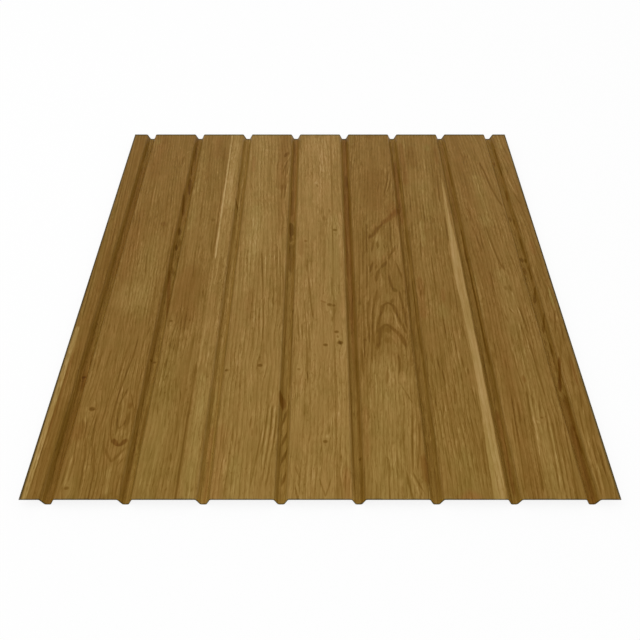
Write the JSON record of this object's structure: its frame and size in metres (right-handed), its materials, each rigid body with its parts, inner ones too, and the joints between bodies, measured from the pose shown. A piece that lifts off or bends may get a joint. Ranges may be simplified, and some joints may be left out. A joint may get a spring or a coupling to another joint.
{
  "type": "steel wall panel",
  "caption": "Profiled wall cladding sheet, roll-formed steel with wide flat bands between narrow trapezoid grooves, face printed as golden oak.",
  "frame": {"origin": "centre of the sheet in plan, on the undersides of the groove floors that it lies on", "axes": "+X across the sheet, +Y along the grooves away from the pictured front edge, +Z out of the printed face"},
  "size_m": [1.1, 1.27, 0.0155],
  "materials": {
    "printed_steel": "satin golden oak woodgrain print on the face, plain light service coat on the back"
  },
  "bodies": {
    "root": {"profiled_sheet": "printed_steel"}
  },
  "joints": []
}
